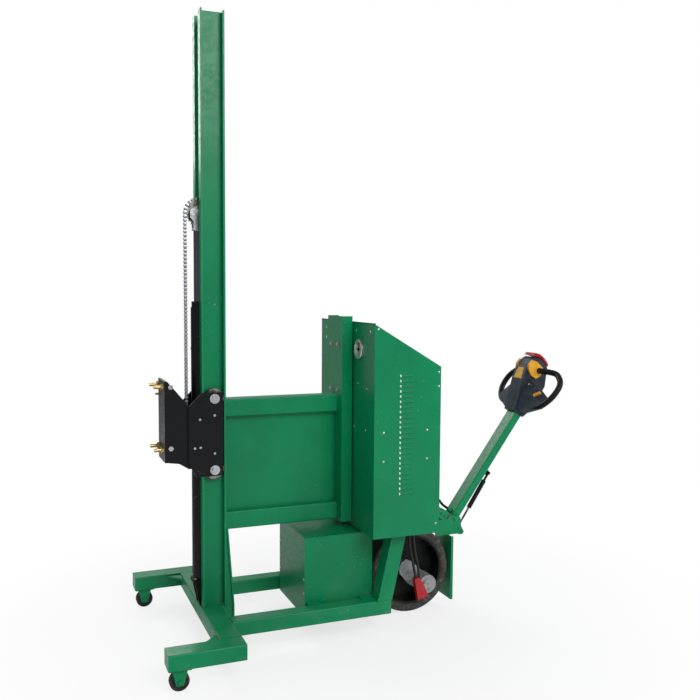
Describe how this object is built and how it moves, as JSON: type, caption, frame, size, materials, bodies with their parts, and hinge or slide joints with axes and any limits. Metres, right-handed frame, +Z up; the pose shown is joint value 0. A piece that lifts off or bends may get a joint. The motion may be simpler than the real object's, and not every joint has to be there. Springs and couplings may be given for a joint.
{
  "type": "walkie stacker",
  "caption": "Green pedestrian walkie stacker with a single mast, chain-lifted tool carriage, battery box, control cabinet, steered drive wheel and a tiller with loop handles",
  "frame": {"origin": "on the floor at the centre of the whole machine's bounding box", "axes": "+X runs from the load side towards the tiller, +Y is to the right of an operator who stands at the tiller and faces the load, +Z is up"},
  "size_m": [1.9596, 0.994, 2.643],
  "materials": {
    "green_paint": "smooth gloss enamel, emerald green",
    "black_paint": "satin black enamel",
    "bright_steel": "hard chromed and ground",
    "zinc_steel": "zinc plated",
    "chain_steel": "oiled steel",
    "tyre_rubber": "matt solid rubber",
    "caster_rubber": "matt moulded rubber",
    "cast_alloy": "as cast",
    "grey_plastic": "fine grained slate grey moulding",
    "black_plastic": "fine grained black moulding",
    "orange_plastic": "amber moulding",
    "red_plastic": "dark red moulding",
    "cable_rubber": "black sheath",
    "grey_machinery": "machine grey enamel"
  },
  "bodies": {
    "frame": {"cross_beam": "green_paint", "feet": "green_paint", "base_rails": "green_paint", "rear_posts": "green_paint", "caster_forks": "green_paint", "mast_channels": "green_paint", "mast_plates": "green_paint", "cylinder_seat": "black_paint", "cylinder_barrel": "black_paint", "frame_bolts": "zinc_steel", "chain_rear": "chain_steel", "chain_anchor_rear": "green_paint", "spine": "green_paint", "rear_upright": "green_paint", "cabinet_front": "green_paint", "cabinet_walls": "green_paint", "cabinet_lid": "green_paint", "drive_deck": "green_paint", "edge_trim": "black_plastic", "cabinet_screws": "zinc_steel", "vent_louvres": "green_paint", "gauge_body": "cast_alloy", "hydraulic_unit": "grey_machinery", "battery_box": "green_paint", "battery_lid": "green_paint", "batteries": "black_plastic"},
    "ram": {"piston_rod": "bright_steel", "crosshead": "black_paint", "sprocket_axle": "zinc_steel", "chain_turn": "chain_steel", "chain_front": "chain_steel"},
    "sprocket": {"chain_sprocket": "chain_steel"},
    "carriage": {"carriage_plates": "black_paint", "tool_arms": "black_paint", "face_plate": "black_paint", "cross_plate": "black_paint", "roller_axles": "zinc_steel", "carriage_screws": "zinc_steel", "tool_studs": "zinc_steel"},
    "upper_rollers": {"rollers_upper": "chain_steel"},
    "lower_rollers": {"rollers_lower": "chain_steel"},
    "left_caster": {"caster_wheel_left": "caster_rubber"},
    "right_caster": {"caster_wheel_right": "caster_rubber"},
    "steering": {"steer_yoke": "black_paint", "drive_motor": "cast_alloy", "motor_cables": "cable_rubber", "skirt": "green_paint", "tiller_bracket": "green_paint", "control_cable": "cable_rubber"},
    "drive_wheel": {"drive_rim": "black_paint", "drive_tyre": "tyre_rubber"},
    "tiller": {"tiller_arm": "green_paint", "control_head": "grey_plastic", "handle_loops": "black_plastic"},
    "throttle": {"throttle_wings": "orange_plastic"},
    "button": {"belly_button": "red_plastic"},
    "keys": {"lift_keys": "orange_plastic"},
    "spring_rod": {"gas_spring_rod": "chain_steel"},
    "spring_tube": {"gas_spring_tube": "black_plastic"},
    "needle": {"gauge_needle": "black_plastic"}
  },
  "joints": [
    {"name": "lift_ram", "type": "slide", "parent": "frame", "child": "ram", "axis": [0, 0, 1], "range_m": [-0.275, 0.75], "deforming": ["chain_rear"]},
    {"name": "carriage_lift", "type": "slide", "parent": "ram", "child": "carriage", "axis": [0, 0, 1], "range_m": [-0.275, 0.75], "deforming": ["chain_front"]},
    {"name": "sprocket_spin", "type": "hinge", "parent": "ram", "child": "sprocket", "pos_m": [-0.7558, 0, 1.827], "axis": [0, 1, 0], "range_deg": [-283.5, 772]},
    {"name": "upper_roller_spin", "type": "hinge", "parent": "carriage", "child": "upper_rollers", "pos_m": [-0.71, 0, 1.051], "axis": [0, 1, 0], "range_deg": [-2034, 746]},
    {"name": "lower_roller_spin", "type": "hinge", "parent": "carriage", "child": "lower_rollers", "pos_m": [-0.71, 0, 0.749], "axis": [0, 1, 0], "range_deg": [-746, 2034]},
    {"name": "left_caster_spin", "type": "hinge", "parent": "frame", "child": "left_caster", "pos_m": [-0.9328, -0.4525, 0.038], "axis": [0, 1, 0], "continuous": true},
    {"name": "right_caster_spin", "type": "hinge", "parent": "frame", "child": "right_caster", "pos_m": [-0.9328, 0.4525, 0.038], "axis": [0, 1, 0], "continuous": true},
    {"name": "steering_turn", "type": "hinge", "parent": "frame", "child": "steering", "pos_m": [0.2192, 0, 0.4375], "axis": [0, 0, 1], "range_deg": [-60, 60]},
    {"name": "drive_wheel_spin", "type": "hinge", "parent": "steering", "child": "drive_wheel", "pos_m": [0.2192, 0, 0.2], "axis": [0, 1, 0], "continuous": true},
    {"name": "tiller_tilt", "type": "hinge", "parent": "steering", "child": "tiller", "pos_m": [0.4652, 0, 0.415], "axis": [0, 1, 0], "range_deg": [0, 44], "stiffness_Nm_per_rad": 24, "springref_deg": -137.51},
    {"name": "throttle_twist", "type": "hinge", "parent": "tiller", "child": "throttle", "pos_m": [0.91415, 0, 1.11673], "axis": [0, 1, 0], "range_deg": [-20, 20], "stiffness_Nm_per_rad": 1.5},
    {"name": "belly_button_press", "type": "slide", "parent": "tiller", "child": "button", "axis": [-0.5807, 0, -0.8141], "range_m": [0, 0.006], "stiffness_N_per_m": 1500, "springref_m": -0.002},
    {"name": "lift_key_press", "type": "slide", "parent": "tiller", "child": "keys", "axis": [0.7845, 0.2672, -0.5596], "range_m": [0, 0.002], "stiffness_N_per_m": 600, "springref_m": -0.001},
    {"name": "gas_spring_swing", "type": "hinge", "parent": "steering", "child": "spring_rod", "pos_m": [0.4992, 0, 0.35], "axis": [0, 1, 0], "range_deg": [-1, 43]},
    {"name": "gas_spring_slide", "type": "slide", "parent": "spring_rod", "child": "spring_tube", "axis": [0.5473, 0, 0.8369], "range_m": [-0.0555, 0.001]},
    {"name": "needle_turn", "type": "hinge", "parent": "frame", "child": "needle", "pos_m": [-0.0918, -0.158, 1.25], "axis": [-1, 0, 0], "range_deg": [-60, 60], "stiffness_Nm_per_rad": 0.01}
  ],
  "couplings": [
    {"joint": "carriage_lift", "follows": "lift_ram", "ratio": 1},
    {"joint": "sprocket_spin", "follows": "lift_ram", "rad_per_m": 17.929},
    {"joint": "upper_roller_spin", "follows": "lift_ram", "rad_per_m": -47.281},
    {"joint": "lower_roller_spin", "follows": "lift_ram", "rad_per_m": 47.281},
    {"joint": "gas_spring_swing", "follows": "tiller_tilt", "ratio": 0.9648},
    {"joint": "gas_spring_slide", "follows": "tiller_tilt", "m_per_rad": -0.0708}
  ]
}
